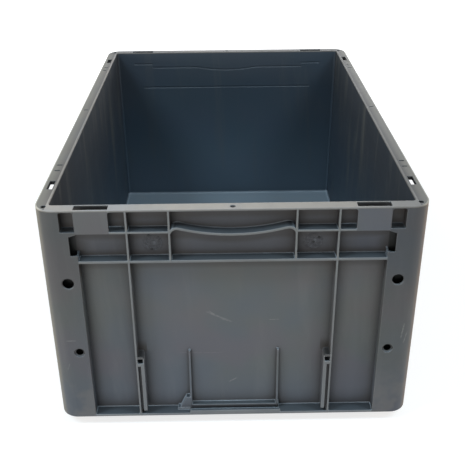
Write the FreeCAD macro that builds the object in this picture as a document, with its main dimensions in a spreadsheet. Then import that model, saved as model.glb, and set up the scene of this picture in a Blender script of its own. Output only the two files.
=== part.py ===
# Euro container, 600 x 400 x 280 mm: one injection-moulded piece.
# Lengths in mm, +Z up, the ends face -Y and +Y, the long sides face -X and +X.
# The origin is on the ground, in the middle of the foot.
import FreeCAD, Part
import math
import os
import re
import Sketcher

doc = FreeCAD.newDocument("euro_container")
sheet = doc.addObject("Spreadsheet::Sheet", "Sheet")

# A "drop" is measured down from the top of the rim, a "rise" up from the lower edge of the skirt,
# and an "inset" in from the outline.
DIMS = [
    ("length", 600, "outer length along Y"),
    ("width", 400, "outer width along X"),
    ("height", 280, "outer height"),
    ("corner_radius", 20, "outer vertical corners, in plan"),
    ("rim_reach", 12, "how far the rim and the ribs stand out from the wall"),
    ("rim_thick", 2, "thickness of the rim flange"),
    ("rim_round", 0.8, "rounding of the rim's outer top edge"),
    ("mouth_bevel", 0.6, "bevel on the inner edge of the rim"),
    ("wall_thick", 2, "wall thickness at the rim"),
    ("draft_inside", 2.2, "how much narrower each inner wall is at the floor"),
    ("draft_outside", 1.5, "how much narrower each outer wall is at the skirt"),
    ("wall_corner", 6, "outer radius of the wall's vertical corners"),
    ("cavity_corner", 4, "inner radius of the wall's vertical corners"),
    ("floor_round", 4, "radius between the floor and the walls"),
    ("foot_height", 13.7, "height of the stacking foot below the skirt"),
    ("floor_thick", 2.3, "thickness of the floor"),
    ("skirt_thick", 2.8, "thickness of the skirt along the bottom edge"),
    ("rib_thick", 2, "thickness of the upright ribs"),
    ("band_drop", 24.5, "top of the upper band rib"),
    ("band_thick", 2.2, "thickness of the upper band rib"),
    ("belt_drop", 58.4, "top of the lower band rib"),
    ("belt_thick", 2.8, "thickness of the lower band rib"),
    ("rib_outer_inset", 92.4, "end wall, middle of the outer upright ribs"),
    ("rib_gap", 43, "end wall, from an outer to an inner upright rib"),
    ("side_rib_pitch", 90, "long wall, spacing of the upright ribs"),
    ("shell_thick", 2.4, "thickness of the corner posts and the hook plates"),
    ("post_inset", 40.8, "end wall, inner edge of the corner posts"),
    ("post_head_inset", 25.5, "end wall, inner edge of the posts above the band"),
    ("post_side_inset", 40, "long wall, inner edge of the corner posts"),
    ("pocket_round", 2.5, "upper corners of the openings beside the hook plates"),
    ("notch_width", 7.4, "side opening of the post, seen from the end"),
    ("notch_top_drop", 30, "upper outer corner of the side opening"),
    ("notch_edge_drop", 27, "upper inner corner of the side opening"),
    ("notch_foot_drop", 52, "lower edge of the side opening"),
    ("gusset_drop", 52.5, "top of the gusset where it meets the wall"),
    ("hook_inset", 40.2, "hook plate and rim slot, outer end"),
    ("hook_length", 34.6, "hook plate and rim slot"),
    ("grip_dip_drop", 29, "middle of the grip rib, where it hangs lowest"),
    ("grip_radius", 212, "long curve of the grip rib"),
    ("grip_shoulder", 8, "shoulder curve of the grip rib"),
    ("grip_thick", 2.6, "thickness of the grip rib"),
    ("peg_hole_inset", 27.4, "upper post hole"),
    ("peg_hole_drop", 85.7, "upper post hole"),
    ("peg_hole_radius", 6, "upper post hole"),
    ("peg_sink_radius", 6.9, "bevel round the upper post hole"),
    ("pin_hole_inset", 30.7, "lower post hole"),
    ("pin_hole_rise", 91.6, "lower post hole"),
    ("pin_hole_radius", 4.2, "lower post hole"),
    ("pin_sink_radius", 5.9, "recess round the lower post hole"),
    ("pin_sink_depth", 1.4, "recess round the lower post hole"),
    ("label_x", 49.4, "label holder, middle of its side ribs"),
    ("label_rib_thick", 2.2, "label holder, side ribs"),
    ("label_rise", 84.2, "label holder, where its side ribs begin"),
    ("label_head_reach", 2.2, "label holder, side ribs at the top"),
    ("label_reach", 4.9, "label holder, side ribs at the bottom"),
    ("ledge_rise", 8.8, "label holder, top of its ledge"),
    ("ledge_reach", 4.6, "label holder, depth of its ledge"),
    ("ledge_tail", 2.2, "label holder, how far its ledge runs past the rib away from the ramp"),
    ("lip_rise", 6.2, "label holder, top of the lip along the front of the skirt"),
    ("lip_thick", 1.8, "label holder, that lip"),
    ("lip_tail", 3.6, "label holder, how far that lip runs past the same rib"),
    ("wedge_x", 61.9, "ramp beside the label holder, outer foot"),
    ("wedge_top_x", 54.9, "ramp beside the label holder, outer top"),
    ("wedge_rise", 20, "ramp beside the label holder, top"),
    ("wedge_foot_rise", 5.2, "ramp beside the label holder, foot"),
    ("wedge_reach", 5, "ramp beside the label holder, depth"),
    ("wedge_step_x", 64.8, "step under the ramp, outer end"),
    ("wedge_step_reach", 5.4, "step under the ramp, depth"),
    ("clip_width", 8, "clip channel, from its inner edge to the middle of the upright rib"),
    ("clip_top_rise", 84, "clip channel, top of the arch"),
    ("clip_foot_rise", 7.6, "clip channel, foot"),
    ("clip_round", 3, "clip channel, corner of the arch"),
    ("clip_wall", 1.8, "clip channel, wall behind the window"),
    ("clip_side", 1.1, "clip channel, wall beside the window"),
    ("clip_window_rise", 81.3, "clip channel, top of the window"),
    ("clip_bar_rise", 74.9, "clip channel, foot of the window"),
    ("clip_bar_thick", 4, "clip channel, bar under the window"),
    ("clip_groove", 3.2, "clip channel, groove beside the upright rib"),
    ("clip_groove_depth", 3.5, "clip channel, that groove"),
    ("rim_slot_inset", 4.4, "slot in the long rim, outer edge"),
    ("rim_slot_width", 6.1, "slot in the long rim"),
    ("rim_slot_end_inset", 51.5, "slot in the long rim, outer end"),
    ("rim_slot_length", 21, "slot in the long rim"),
    ("rim_pad_depth", 4.4, "thicker rim round that slot"),
    ("rim_pad_margin", 1.8, "thicker rim round that slot"),
    ("slit_inset", 6.8, "slits in the long rim"),
    ("slit_length", 6, "slits in the long rim"),
    ("slit_width", 2.6, "slits in the long rim"),
    ("slit_end_inset", 99.5, "slit of each pair that is nearer to the end"),
    ("slit_gap", 15.5, "from that slit to the other one"),
    ("corner_hole_inset", 9.7, "hole in the rim at each corner, from the long side"),
    ("corner_hole_end_inset", 10.6, "hole in the rim at each corner, from the end"),
    ("corner_hole_radius", 2.7, "hole in the rim at each corner"),
    ("middle_hole_inset", 6.4, "hole in the middle of each end rim"),
    ("middle_hole_radius", 2.9, "hole in the middle of each end rim"),
    ("foot_inset", 16.5, "foot ring, from the outline"),
    ("foot_thick", 3, "foot ring"),
    ("foot_corner", 9, "foot ring, corner radius"),
    ("foot_rib_thick", 2, "cross ribs under the floor"),
    ("foot_rib_lift", 1.2, "cross ribs, clear of the ground"),
    ("sink_width", 2.4, "sink lines on the inner end walls"),
    ("sink_depth", 0.35, "sink lines on the inner end walls"),
    ("sink_grip_drop", 30.2, "sink line behind the grip rib, in the middle"),
    ("sink_grip_radius", 274, "sink line behind the grip rib"),
    ("sink_grip_half", 50, "sink line behind the grip rib, half its length"),
    ("sink_band_drop", 25.6, "sink line behind the upper band"),
    ("sink_band_end", 127, "sink line behind the upper band"),
    ("sink_hook_drop", 19.5, "sink line behind the hook plate"),
    ("sink_hook_end", 158, "sink line behind the hook plate"),
    ("sink_belt_drop", 60.5, "sink line behind the lower band"),
    ("sink_belt_end", 143, "sink line behind the lower band"),
]
# Sizes that follow from the ones above.
DERIVED = [
    ("post_x", "width / 2 - post_inset"),
    ("post_head_x", "width / 2 - post_head_inset"),
    ("post_y", "length / 2 - post_side_inset"),
    ("hook_out_x", "width / 2 - hook_inset"),
    ("hook_in_x", "width / 2 - hook_inset - hook_length"),
    ("rib_outer_x", "width / 2 - rib_outer_inset"),
    ("rib_inner_x", "width / 2 - rib_outer_inset - rib_gap"),
    ("peg_hole_x", "width / 2 - peg_hole_inset"),
    ("pin_hole_x", "width / 2 - pin_hole_inset"),
    ("clip_in_x", "rib_outer_x - clip_width"),
    ("clip_crown", "foot_height + clip_top_rise"),
    ("rim_slot_out_x", "width / 2 - rim_slot_inset"),
    ("rim_slot_in_x", "width / 2 - rim_slot_inset - rim_slot_width"),
    ("rim_slot_out_y", "length / 2 - rim_slot_end_inset"),
    ("rim_slot_in_y", "length / 2 - rim_slot_end_inset - rim_slot_length"),
    ("slit_x", "width / 2 - slit_inset"),
    ("slit_far_y", "length / 2 - slit_end_inset"),
    ("slit_near_y", "length / 2 - slit_end_inset - slit_gap"),
    ("corner_hole_x", "width / 2 - corner_hole_inset"),
    ("corner_hole_y", "length / 2 - corner_hole_end_inset"),
    ("middle_hole_y", "length / 2 - middle_hole_inset"),
    ("foot_rib_pitch_x", "(width - foot_inset * 2) / 3"),
    ("foot_rib_pitch_y", "(length - foot_inset * 2) / 5"),
]
VALUE = {}
for row, (alias, value, note) in enumerate(DIMS, 1):
    sheet.set(f"A{row}", note)
    sheet.set(f"B{row}", str(value))
    sheet.setAlias(f"B{row}", alias)
    VALUE[alias] = value
for row, (alias, text) in enumerate(DERIVED, len(DIMS) + 1):
    sheet.set(f"A{row}", "follows from the sizes above")
    sheet.set(f"B{row}", "=" + text)
    sheet.setAlias(f"B{row}", alias)
    doc.recompute()
    VALUE[alias] = float(sheet.get(alias))
doc.recompute()


def formula(text):
    """Point the named sizes of a formula at the spreadsheet."""
    return re.sub(r"[a-z_]+[a-z]", lambda m: "Sheet." + m.group() if m.group() in VALUE else m.group(), str(text))


def number(text):
    """The same formula as a number, for a sketch's first guess."""
    sheet.set("D1", f"={text}")
    sheet.recompute()
    return float(sheet.get("D1"))


def slab(name, x, y, z):
    """A box: x and y as (middle, size), z as (bottom, top)."""
    box = doc.addObject("Part::Box", name)
    box.setExpression("Length", formula(x[1]))
    box.setExpression("Width", formula(y[1]))
    box.setExpression("Height", formula(f"({z[1]}) - ({z[0]})"))
    box.setExpression("Placement.Base.x", formula(f"({x[0]}) - ({x[1]}) / 2"))
    box.setExpression("Placement.Base.y", formula(f"({y[0]}) - ({y[1]}) / 2"))
    box.setExpression("Placement.Base.z", formula(z[0]))
    return box


def pin(sketch, geo, pos, x, y):
    """Fix one point of a sketch at two formulas."""
    for kind, text in (("DistanceX", x), ("DistanceY", y)):
        index = sketch.addConstraint(Sketcher.Constraint(kind, -1, 1, geo, pos, number(text)))
        sketch.setExpression(f"Constraints[{index}]", formula(text))


TURN = {
    "XY": FreeCAD.Rotation(),
    "XZ": FreeCAD.Rotation(FreeCAD.Vector(1, 0, 0), 90),
    "YZ": FreeCAD.Rotation(FreeCAD.Vector(1, 1, 1), 120),
}
AXIS = {"XY": "z", "XZ": "y", "YZ": "x"}


def plane_sketch(name, plane, at):
    """An empty sketch, parallel to a main plane and moved to a formula."""
    sketch = doc.addObject("Sketcher::SketchObject", name)
    sketch.Placement = FreeCAD.Placement(FreeCAD.Vector(), TURN[plane])
    sketch.setExpression("Placement.Base." + AXIS[plane], formula(at))
    return sketch


def extrude(name, sketch, depth):
    """Extrude a sketch along its own normal."""
    solid = doc.addObject("Part::Extrusion", name)
    solid.Base = sketch
    solid.DirMode = "Normal"
    solid.Solid = True
    solid.setExpression("LengthFwd", formula(depth))
    return solid


def prism(name, plane, at, depth, points):
    """Extrude a polygon whose corners are formulas."""
    sketch = plane_sketch(name + "_outline", plane, at)
    spots = [FreeCAD.Vector(number(u), number(v), 0) for u, v in points]
    count = len(points)
    for k in range(count):
        sketch.addGeometry(Part.LineSegment(spots[k], spots[(k + 1) % count]))
    for k in range(count):
        sketch.addConstraint(Sketcher.Constraint("Coincident", k, 2, (k + 1) % count, 1))
    for k, (u, v) in enumerate(points):
        pin(sketch, k, 1, u, v)
    return extrude(name, sketch, depth)


def rounded_outline(name, at, half_x, half_y, radius):
    """A rectangle with round corners, centred, parallel to the ground."""
    sketch = plane_sketch(name, "XY", at)
    a, b, r = number(half_x), number(half_y), number(radius)
    sides = [((-a + r, -b), (a - r, -b)), ((a, -b + r), (a, b - r)),
             ((a - r, b), (-a + r, b)), ((-a, b - r), (-a, -b + r))]
    for start, stop in sides:
        sketch.addGeometry(Part.LineSegment(FreeCAD.Vector(*start, 0), FreeCAD.Vector(*stop, 0)))
    centres = [(a - r, -b + r), (a - r, b - r), (-a + r, b - r), (-a + r, -b + r)]
    for k, centre in enumerate(centres):
        circle = Part.Circle(FreeCAD.Vector(*centre, 0), FreeCAD.Vector(0, 0, 1), r)
        sketch.addGeometry(Part.ArcOfCircle(circle, (k - 1) * math.pi / 2, k * math.pi / 2))
    for k in range(4):
        sketch.addConstraint(Sketcher.Constraint("Tangent", k, 2, 4 + k, 1))
        sketch.addConstraint(Sketcher.Constraint("Tangent", 4 + k, 2, (k + 1) % 4, 1))
        sketch.addConstraint(Sketcher.Constraint("Horizontal" if k % 2 == 0 else "Vertical", k))
    for k in range(1, 4):
        sketch.addConstraint(Sketcher.Constraint("Equal", 4, 4 + k))
    index = sketch.addConstraint(Sketcher.Constraint("Radius", 4, r))
    sketch.setExpression(f"Constraints[{index}]", formula(radius))
    for geo, kind, text in ((0, "DistanceY", f"-({half_y})"), (1, "DistanceX", half_x),
                            (2, "DistanceY", half_y), (3, "DistanceX", f"-({half_x})")):
        index = sketch.addConstraint(Sketcher.Constraint(kind, -1, 1, geo, 1, number(text)))
        sketch.setExpression(f"Constraints[{index}]", formula(text))
    return sketch


def loft(name, sections):
    solid = doc.addObject("Part::Loft", name)
    solid.Sections = sections
    solid.Solid = True
    solid.Ruled = True
    return solid


def round_edges(name, base, radius, chosen):
    """Round the edges of base that the test picks."""
    doc.recompute()
    picked = [k for k, edge in enumerate(base.Shape.Edges, 1) if chosen(edge)]
    solid = doc.addObject("Part::Fillet", name)
    solid.Base = base
    solid.Edges = [(k, VALUE[radius], VALUE[radius]) for k in picked]
    return solid


def rod(name, x, y, z, radius, depth, along="z"):
    """A cylinder from the point (x, y, z): up, or along +Y."""
    solid = doc.addObject("Part::Cylinder", name)
    solid.setExpression("Radius", formula(radius))
    solid.setExpression("Height", formula(depth))
    if along == "y":
        solid.Placement = FreeCAD.Placement(FreeCAD.Vector(), FreeCAD.Rotation(FreeCAD.Vector(1, 0, 0), -90))
    for axis, text in (("x", x), ("y", y), ("z", z)):
        solid.setExpression("Placement.Base." + axis, formula(text))
    return solid


def bevel_ring(name, x, y, z, wide, narrow, depth):
    """A cone along +Y that opens a hole towards the outside."""
    solid = doc.addObject("Part::Cone", name)
    solid.setExpression("Radius1", formula(wide))
    solid.setExpression("Radius2", formula(narrow))
    solid.setExpression("Height", formula(depth))
    solid.Placement = FreeCAD.Placement(FreeCAD.Vector(), FreeCAD.Rotation(FreeCAD.Vector(1, 0, 0), -90))
    for axis, text in (("x", x), ("y", y), ("z", z)):
        solid.setExpression("Placement.Base." + axis, formula(text))
    return solid


def fuse(name, shapes):
    solid = doc.addObject("Part::MultiFuse", name)
    solid.Shapes = shapes
    return solid


def cut(name, base, tool):
    solid = doc.addObject("Part::Cut", name)
    solid.Base = base
    solid.Tool = tool
    return solid


def mirror(name, source, normal):
    solid = doc.addObject("Part::Mirroring", name)
    solid.Source = source
    solid.Normal = FreeCAD.Vector(*normal)
    return solid


def both_ends(name, shapes):
    """A set made for the -Y end, and the same set turned round for the +Y end."""
    near = fuse(name, shapes)
    across = mirror(name + "_across", near, (0, 1, 0))
    return [near, mirror(name + "_turned", across, (1, 0, 0))]


# Heights above the ground, and lines in plan.
TOP = "height"
SKIRT = "foot_height"
SKIRT_TOP = "foot_height + skirt_thick"
BAND_FOOT = "height - band_drop - band_thick"
BELT_FOOT = "height - belt_drop - belt_thick"
END = "-length / 2"
DEEP_Y = "-length / 2 + rim_reach + 6"
DEEP = "rim_reach + 6"
WALL_X = "width / 2 - rim_reach"
WALL_Y = "length / 2 - rim_reach"
PILLAR_X = "post_x + shell_thick"
PILLAR_Y = "post_y + shell_thick"

# The walls and the floor, solid for now: the inside is cut out at the end.
wall = loft("wall", [
    rounded_outline("wall_foot", SKIRT, f"{WALL_X} - draft_outside", f"{WALL_Y} - draft_outside", "wall_corner"),
    rounded_outline("wall_head", TOP, WALL_X, WALL_Y, "wall_corner"),
])

# The rim flange, rounded along its outer top edge.
rim_blank = extrude("rim_blank", rounded_outline(
    "rim_outline", f"{TOP} - rim_thick", "width / 2", "length / 2", "corner_radius"), "rim_thick")
rim = round_edges("rim", rim_blank, "rim_round",
                  lambda edge: all(abs(v.Z - VALUE["height"]) < 1e-6 for v in edge.Vertexes))

# The corner posts and the hook plates start as one sleeve flush with the rim.
sleeve_out = extrude("sleeve_out", rounded_outline(
    "sleeve_out_line", SKIRT, "width / 2", "length / 2", "corner_radius"), "height - foot_height - rim_thick / 2")
sleeve_in = extrude("sleeve_in", rounded_outline(
    "sleeve_in_line", f"{SKIRT} - 1", "width / 2 - shell_thick", "length / 2 - shell_thick",
    "corner_radius - shell_thick"), "height")
sleeve = cut("sleeve", sleeve_out, sleeve_in)

def round_top_window(name, x, foot):
    """A window through the sleeve, up to the rim, with round upper corners."""
    blank = slab(name + "_blank", x, (END, "shell_thick * 4"), (foot, f"{TOP} - rim_thick"))
    crown = VALUE["height"] - VALUE["rim_thick"]
    return round_edges(
        name, blank, "pocket_round",
        lambda edge: all(abs(v.Z - crown) < 1e-6 for v in edge.Vertexes)
        and abs(edge.Vertexes[0].Y - edge.Vertexes[1].Y) > 1e-6)


# Windows through the sleeve, first those of one end.
windows = [
    slab("window_panel", ("0", "post_x * 2"), (END, "shell_thick * 4"), ("0", BAND_FOOT)),
    round_top_window("window_band", ("0", "hook_in_x * 2"), f"{BAND_FOOT} - 1"),
]
for side in (-1, 1):
    tag = "left" if side < 0 else "right"
    windows.append(round_top_window(f"window_pocket_{tag}",
                                    (f"{side} * (hook_out_x + post_head_x) / 2", "post_head_x - hook_out_x"),
                                    f"{TOP} - band_drop"))
    windows.append(prism(f"window_notch_{tag}", "XZ", f"{END} + shell_thick * 2", "shell_thick * 4", [
        (f"{side} * (post_x - 1)", f"{TOP} - notch_edge_drop"),
        (f"{side} * (post_x + notch_width)", f"{TOP} - notch_top_drop"),
        (f"{side} * (post_x + notch_width)", f"{TOP} - notch_foot_drop"),
        (f"{side} * (post_x - 1)", f"{TOP} - notch_foot_drop"),
    ]))
side_window = slab("window_side", ("0", "width * 2"), ("0", "post_y * 2"), ("0", TOP))
posts = cut("posts", sleeve, fuse("all_windows", both_ends("end_windows", windows) + [side_window]))

# Ribs of one end. They reach into the wall, and the inside trims them.
end_parts = []


def end_rib(name, x, width, z):
    """A rib on the -Y end, as deep as the rim."""
    end_parts.append(slab(name, (x, width), (f"{END} + ({DEEP}) / 2", DEEP), z))


# The upper band rib runs straight to the posts on each side of the grip.
GRIP_X = "rib_inner_x"
for side in (-1, 1):
    tag = "left" if side < 0 else "right"
    end_rib(f"band_{tag}", f"{side} * ({GRIP_X} + post_head_x + shell_thick) / 2",
            f"post_head_x + shell_thick - {GRIP_X}", (BAND_FOOT, "height - band_drop"))
    end_rib(f"rib_outer_{tag}", f"{side} * rib_outer_x", "rib_thick", (SKIRT, f"{TOP} - rim_thick / 2"))
    end_rib(f"rib_inner_{tag}", f"{side} * rib_inner_x", "rib_thick",
            (BELT_FOOT, f"{TOP} - rim_thick / 2"))
    end_rib(f"post_head_{tag}", f"{side} * (post_head_x + shell_thick / 2)", "shell_thick",
            (BAND_FOOT, f"{TOP} - rim_thick / 2"))
    # The post's return wall ends in a sloping gusset on top of the lower band.
    end_parts.append(prism(f"post_return_{tag}", "YZ",
                           "post_x" if side > 0 else f"-({PILLAR_X})", "shell_thick", [
        (DEEP_Y, SKIRT),
        (END, SKIRT),
        (END, "height - belt_drop"),
        (f"{END} + rim_reach", "height - gusset_drop"),
        (DEEP_Y, "height - gusset_drop"),
    ]))
end_rib("belt", "0", f"({PILLAR_X}) * 2", (BELT_FOOT, "height - belt_drop"))
end_rib("skirt_end", "0", f"({PILLAR_X}) * 2", (SKIRT, SKIRT_TOP))


def grip_rib(name, at, depth):
    """The hand grip: one long curve that hangs down, with a round shoulder at each end.

    Each shoulder turns down into the upright rib, so the underside ends in a round corner.
    """
    half = VALUE["grip_thick"] / 2
    big, small = VALUE["grip_radius"], VALUE["grip_shoulder"]
    inner = VALUE["rib_inner_x"] - VALUE["rib_thick"] / 2
    dip = VALUE["height"] - VALUE["grip_dip_drop"]
    top = dip + big
    cx = inner - (small - half)
    cz = top - math.sqrt((big + small) ** 2 - cx ** 2)
    lean = math.asin(cx / (big + small))
    sketch = plane_sketch(name + "_outline", "XZ", at)
    out = Part.Circle(FreeCAD.Vector(0, top, 0), FreeCAD.Vector(0, 0, 1), big + half)
    into = Part.Circle(FreeCAD.Vector(0, top, 0), FreeCAD.Vector(0, 0, 1), big - half)
    down = -math.pi / 2
    end_angle = math.acos((VALUE["rib_inner_x"] - cx) / (small + half))
    sketch.addGeometry(Part.ArcOfCircle(out, down - lean, down + lean))
    sketch.addGeometry(Part.ArcOfCircle(into, down - lean, down + lean))
    for side in (1, -1):
        centre = FreeCAD.Vector(side * cx, cz, 0)
        under = Part.Circle(centre, FreeCAD.Vector(0, 0, 1), small - half)
        over = Part.Circle(centre, FreeCAD.Vector(0, 0, 1), small + half)
        if side > 0:
            sketch.addGeometry(Part.ArcOfCircle(under, 0, math.pi / 2 + lean))
            sketch.addGeometry(Part.ArcOfCircle(over, end_angle, math.pi / 2 + lean))
        else:
            sketch.addGeometry(Part.ArcOfCircle(under, math.pi / 2 - lean, math.pi))
            sketch.addGeometry(Part.ArcOfCircle(over, math.pi / 2 - lean, math.pi - end_angle))
        low = FreeCAD.Vector(side * inner, cz, 0)
        corner = FreeCAD.Vector(side * VALUE["rib_inner_x"], cz, 0)
        high = FreeCAD.Vector(corner.x, cz + (small + half) * math.sin(end_angle), 0)
        sketch.addGeometry(Part.LineSegment(low, corner))
        sketch.addGeometry(Part.LineSegment(corner, high))
    # 0 and 1 are the long curves; 2 to 5 the right end, 6 to 9 the left end.
    add = sketch.addConstraint
    add(Sketcher.Constraint("Tangent", 0, 2, 2, 2))
    add(Sketcher.Constraint("Tangent", 1, 2, 3, 2))
    add(Sketcher.Constraint("Tangent", 0, 1, 6, 1))
    add(Sketcher.Constraint("Tangent", 1, 1, 7, 1))
    add(Sketcher.Constraint("Coincident", 0, 3, 1, 3))
    add(Sketcher.Constraint("PointOnObject", 0, 3, -2))
    add(Sketcher.Constraint("Symmetric", 2, 3, 6, 3, -2))
    for under, over, foot, riser, near, far in ((2, 3, 4, 5, 1, 1), (6, 7, 8, 9, 2, 2)):
        add(Sketcher.Constraint("Coincident", under, 3, over, 3))
        add(Sketcher.Constraint("Horizontal", under, near, under, 3))
        add(Sketcher.Constraint("Coincident", under, near, foot, 1))
        add(Sketcher.Constraint("Horizontal", foot))
        add(Sketcher.Constraint("Coincident", foot, 2, riser, 1))
        add(Sketcher.Constraint("Vertical", riser))
        add(Sketcher.Constraint("Coincident", riser, 2, over, far))
    sizes = [
        (Sketcher.Constraint("Radius", 0, big + half), "grip_radius + grip_thick / 2"),
        (Sketcher.Constraint("Radius", 1, big - half), "grip_radius - grip_thick / 2"),
        (Sketcher.Constraint("Radius", 2, small - half), "grip_shoulder - grip_thick / 2"),
        (Sketcher.Constraint("DistanceY", -1, 1, 0, 3, top), "height - grip_dip_drop + grip_radius"),
        (Sketcher.Constraint("DistanceX", -1, 1, 4, 2, VALUE["rib_inner_x"]), "rib_inner_x"),
        (Sketcher.Constraint("DistanceX", -1, 1, 2, 3, cx),
         "rib_inner_x - rib_thick / 2 - grip_shoulder + grip_thick / 2"),
        (Sketcher.Constraint("DistanceX", -1, 1, 8, 2, -VALUE["rib_inner_x"]), "-rib_inner_x"),
    ]
    for constraint, text in sizes:
        index = add(constraint)
        sketch.setExpression(f"Constraints[{index}]", formula(text))
    return extrude(name, sketch, depth)


end_parts.append(grip_rib("grip", DEEP_Y, DEEP))

# Label holder: two side ribs that deepen towards the bottom, a ledge, and a lip in front of it.
for side in (-1, 1):
    tag = "left" if side < 0 else "right"
    end_parts.append(prism(f"label_rib_{tag}", "YZ",
                           f"{side} * label_x - label_rib_thick / 2", "label_rib_thick", [
        (DEEP_Y, f"{SKIRT} + label_rise"),
        (f"{END} + rim_reach - label_head_reach", f"{SKIRT} + label_rise"),
        (f"{END} + rim_reach - label_reach", f"{SKIRT} + ledge_rise + 8"),
        (f"{END} + rim_reach - label_reach", f"{SKIRT} + 1"),
        (DEEP_Y, f"{SKIRT} + 1"),
    ]))
end_parts.append(slab("label_ledge", ("ledge_tail / 2", "label_x * 2 + ledge_tail"),
                      (f"{END} + rim_reach - ledge_reach + (ledge_reach + 6) / 2", "ledge_reach + 6"),
                      (f"{SKIRT} + 1", f"{SKIRT} + ledge_rise")))
end_parts.append(slab("label_lip", ("(lip_tail - label_rib_thick / 2) / 2",
                                    "label_x * 2 + label_rib_thick / 2 + lip_tail"),
                      (f"{END} + lip_thick / 2", "lip_thick"), (f"{SKIRT} + 1", f"{SKIRT} + lip_rise")))
end_parts.append(prism("label_wedge", "XZ", DEEP_Y, "wedge_reach + 6", [
    ("-label_x", f"{SKIRT} + 1"),
    ("-wedge_x", f"{SKIRT} + 1"),
    ("-wedge_x", f"{SKIRT} + wedge_foot_rise"),
    ("-wedge_top_x", f"{SKIRT} + wedge_rise"),
    ("-label_x", f"{SKIRT} + wedge_rise"),
]))
end_parts.append(slab("wedge_step", ("-(label_x + wedge_step_x) / 2", "wedge_step_x - label_x"),
                      (f"{END} + rim_reach + (6 - wedge_step_reach) / 2", "wedge_step_reach + 6"),
                      (f"{SKIRT} + 1", f"{SKIRT} + wedge_foot_rise")))

# Clip channels beside the outer upright ribs: a rounded arch, a window, a bar and a groove.
clip_cuts = []
for side in (-1, 1):
    tag = "left" if side < 0 else "right"
    blank = slab(f"clip_blank_{tag}", (f"{side} * (clip_in_x + rib_outer_x) / 2", "rib_outer_x - clip_in_x"),
                 (f"{END} + ({DEEP}) / 2", DEEP), (f"{SKIRT} + clip_foot_rise", "clip_crown"))
    edge_x = side * VALUE["clip_in_x"]
    end_parts.append(round_edges(
        f"clip_{tag}", blank, "clip_round",
        lambda edge: all(abs(v.X - edge_x) < 1e-6 and abs(v.Z - VALUE["clip_crown"]) < 1e-6
                         for v in edge.Vertexes)))
    room = "rib_outer_x - rib_thick / 2"
    clip_cuts.append(slab(f"clip_window_{tag}",
                          (f"{side} * ({room} + clip_in_x + clip_side) / 2", f"{room} - clip_in_x - clip_side"),
                          (f"{END} + (rim_reach - clip_wall) / 2 - 1", "rim_reach - clip_wall + 2"),
                          (f"{SKIRT} + clip_bar_rise", f"{SKIRT} + clip_window_rise")))
    clip_cuts.append(slab(f"clip_groove_{tag}",
                          (f"{side} * ({room} - clip_groove / 2)", "clip_groove"),
                          (f"{END} + clip_groove_depth / 2 - 1", "clip_groove_depth + 2"),
                          (f"{SKIRT} + clip_foot_rise - 1", f"{SKIRT} + clip_bar_rise - clip_bar_thick")))

# Ribs of one long side, then the same on the other side.
side_parts = []


def side_rib(name, y, width, z):
    """A rib on the +X side, as deep as the rim."""
    side_parts.append(slab(name, (f"width / 2 - ({DEEP}) / 2", DEEP), (y, width), z))


side_rib("side_band", "0", f"({PILLAR_Y}) * 2", (BAND_FOOT, "height - band_drop"))
side_rib("side_belt", "0", f"({PILLAR_Y}) * 2", (BELT_FOOT, "height - belt_drop"))
side_rib("side_skirt", "0", f"({PILLAR_Y}) * 2", (SKIRT, SKIRT_TOP))
for step in range(-2, 3):
    foot = SKIRT if abs(step) == 2 else BELT_FOOT
    side_rib(f"side_rib_{step + 2}", f"{step} * side_rib_pitch", "rib_thick", (foot, f"{TOP} - rim_thick / 2"))
for way in (-1, 1):
    tag = "near" if way < 0 else "far"
    side_rib(f"side_return_{tag}", f"{way} * (post_y + shell_thick / 2)", "shell_thick",
             (SKIRT, f"{TOP} - rim_thick / 2"))
    side_parts.append(slab(f"rim_pad_{tag}",
                           ("(width / 2 - rim_reach - 1 + rim_slot_out_x + rim_pad_margin) / 2",
                            "rim_slot_out_x + rim_pad_margin - width / 2 + rim_reach + 1"),
                           (f"{way} * (rim_slot_in_y + rim_slot_out_y) / 2",
                            "rim_slot_out_y - rim_slot_in_y + rim_pad_margin * 2"),
                           (f"{TOP} - rim_pad_depth", f"{TOP} - rim_thick / 2")))
side_set = fuse("side_set", side_parts)
side_sets = [side_set, mirror("side_set_across", side_set, (1, 0, 0))]

# The stacking foot: a ring that drops inside the rim of the container below, and cross ribs.
foot_out = extrude("foot_out", rounded_outline(
    "foot_out_line", "0", "width / 2 - foot_inset", "length / 2 - foot_inset", "foot_corner"),
    "foot_height + floor_thick / 2")
foot_in = extrude("foot_in", rounded_outline(
    "foot_in_line", "-1", "width / 2 - foot_inset - foot_thick", "length / 2 - foot_inset - foot_thick",
    "foot_corner - foot_thick"), "foot_height + 1")
foot_parts = [cut("foot_ring", foot_out, foot_in)]
for step in (-0.5, 0.5):
    foot_parts.append(slab(f"foot_rib_y{int(step + 1)}", (f"{step} * foot_rib_pitch_x", "foot_rib_thick"),
                           ("0", "length - foot_inset * 2 - foot_thick"),
                           ("foot_rib_lift", "foot_height + floor_thick / 2")))
for step in (-1.5, -0.5, 0.5, 1.5):
    foot_parts.append(slab(f"foot_rib_x{int(step + 2)}", ("0", "width - foot_inset * 2 - foot_thick"),
                           (f"{step} * foot_rib_pitch_y", "foot_rib_thick"),
                           ("foot_rib_lift", "foot_height + floor_thick / 2")))

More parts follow.
